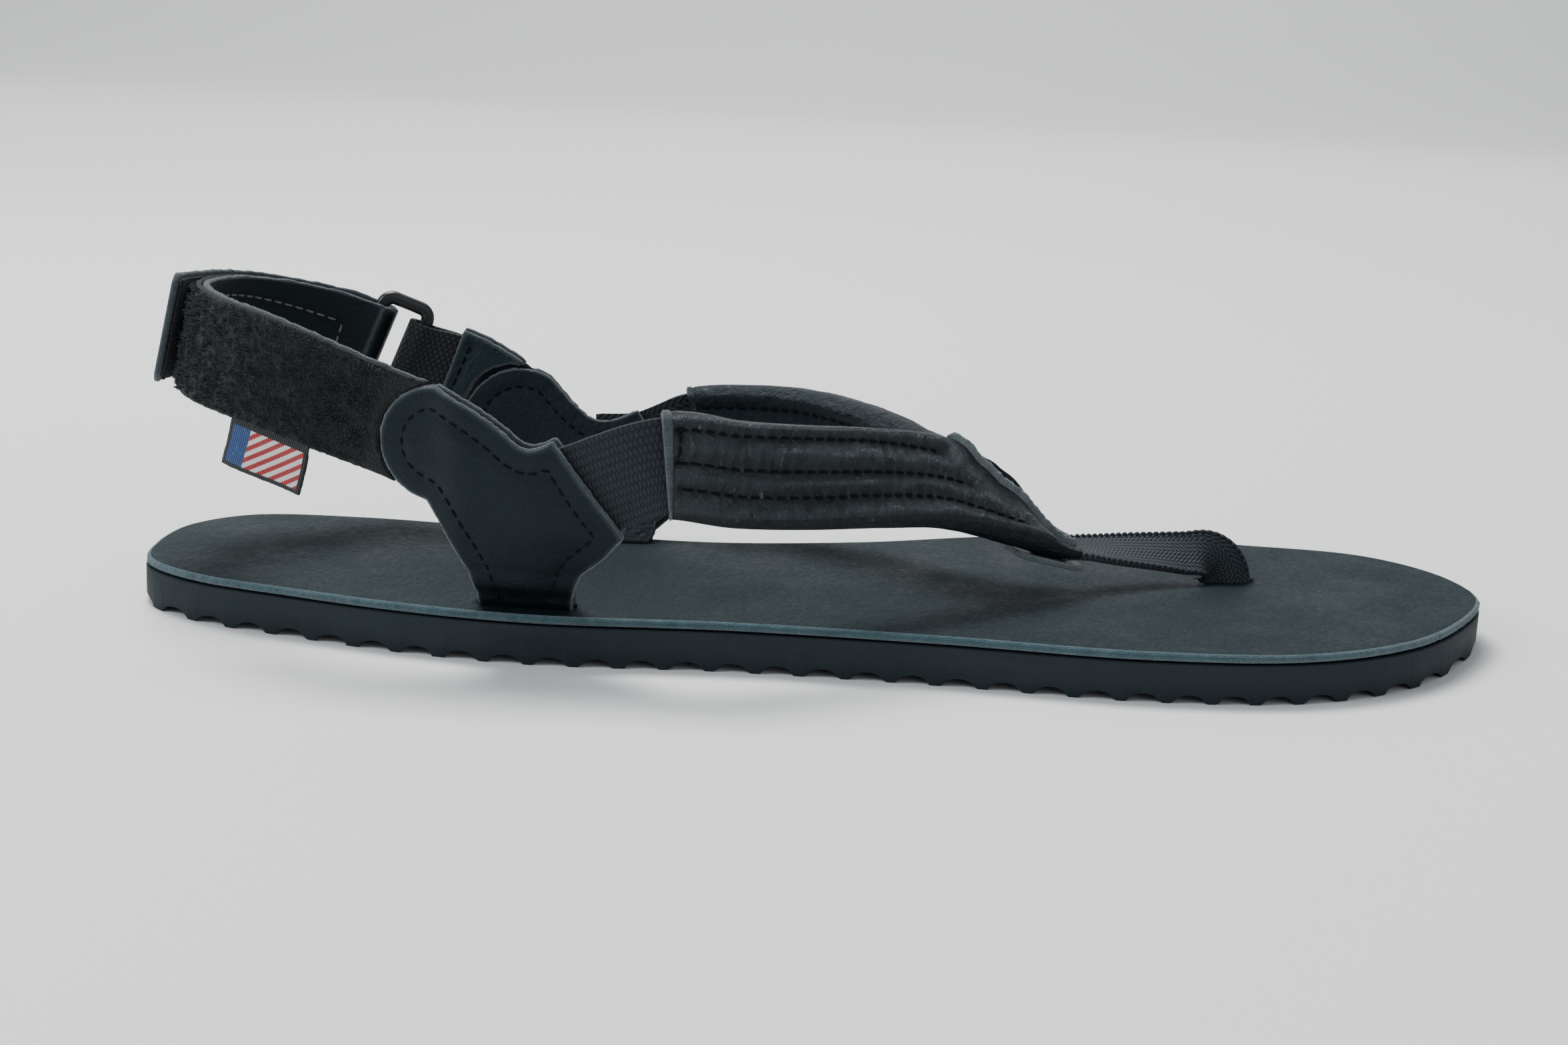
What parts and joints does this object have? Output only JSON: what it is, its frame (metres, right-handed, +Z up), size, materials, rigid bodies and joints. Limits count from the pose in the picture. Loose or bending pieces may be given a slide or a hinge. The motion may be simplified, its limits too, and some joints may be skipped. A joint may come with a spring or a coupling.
{
  "type": "strappy sport sandal",
  "caption": "Right-foot minimalist sandal: thin lugged sole, leather heel wings, padded instep straps, toe webbing and a ring-adjusted heel strap.",
  "frame": {"origin": "on the ground under the middle of the sandal's bounding box", "axes": "+X towards the toe, +Y towards the inner (medial) side of the foot, +Z up"},
  "size_m": [0.2752, 0.0972, 0.0654],
  "materials": {
    "outsole_rubber": "matte lugged rubber",
    "footbed_leather": "pebbled near-black leather with a suede cut edge",
    "black_leather": "fine-grained black leather, semi-matte",
    "lining_leather": "creased black lining leather",
    "pad_leather": "padded brown-black leather with a sheen",
    "webbing": "charcoal nylon webbing",
    "loop_pile": "black loop-pile tape",
    "hook_pile": "black hook tape",
    "ring_plastic": "satin black moulded plastic",
    "tag_fabric": "woven label, blue field with red and white stripes"
  },
  "bodies": {
    "sole": {"outsole": "outsole_rubber", "footbed": "footbed_leather", "lateral_anchor": "webbing", "medial_anchor": "webbing", "lateral_wing": "black_leather", "lateral_wing_lining": "lining_leather", "medial_wing": "black_leather", "medial_wing_lining": "lining_leather", "lateral_webbing": "webbing", "medial_webbing": "webbing", "lateral_pad": "pad_leather", "medial_pad": "pad_leather", "under_flap": "pad_leather", "toe_webbing": "webbing", "toe_stop": "ring_plastic"},
    "heel_strap": {"heel_strap_lining": "lining_leather", "loop_tape": "loop_pile", "medial_arm": "black_leather", "medial_arm_lining": "lining_leather", "ring_keeper": "webbing"},
    "ring": {"ring": "ring_plastic"},
    "tail": {"strap_tail": "black_leather", "hook_tape": "hook_pile"},
    "tag": {"side_tag": "tag_fabric"}
  },
  "joints": [
    {"name": "heel_tilt", "type": "hinge", "parent": "sole", "child": "heel_strap", "pos_m": [-0.07277, -0.04222, 0.04133], "axis": [0.0754, 0.9876, -0.1379], "range_deg": [-16, 16], "stiffness_Nm_per_rad": 0.06, "springref_deg": 1.15},
    {"name": "ring_swivel", "type": "hinge", "parent": "heel_strap", "child": "ring", "pos_m": [-0.0923, 0.03642, 0.04274], "axis": [0.3646, 0.0531, 0.9296], "range_deg": [-4, 4]},
    {"name": "tail_peel", "type": "hinge", "parent": "heel_strap", "child": "tail", "pos_m": [-0.1064, 0.03504, 0.0482], "axis": [-0.3461, -0.0703, -0.9356], "range_deg": [0, 60]},
    {"name": "tag_flap", "type": "hinge", "parent": "heel_strap", "child": "tag", "pos_m": [-0.09857, -0.03618, 0.03694], "axis": [-0.8888, 0.4001, 0.2236], "range_deg": [-30, 60], "stiffness_Nm_per_rad": 0.00005}
  ]
}
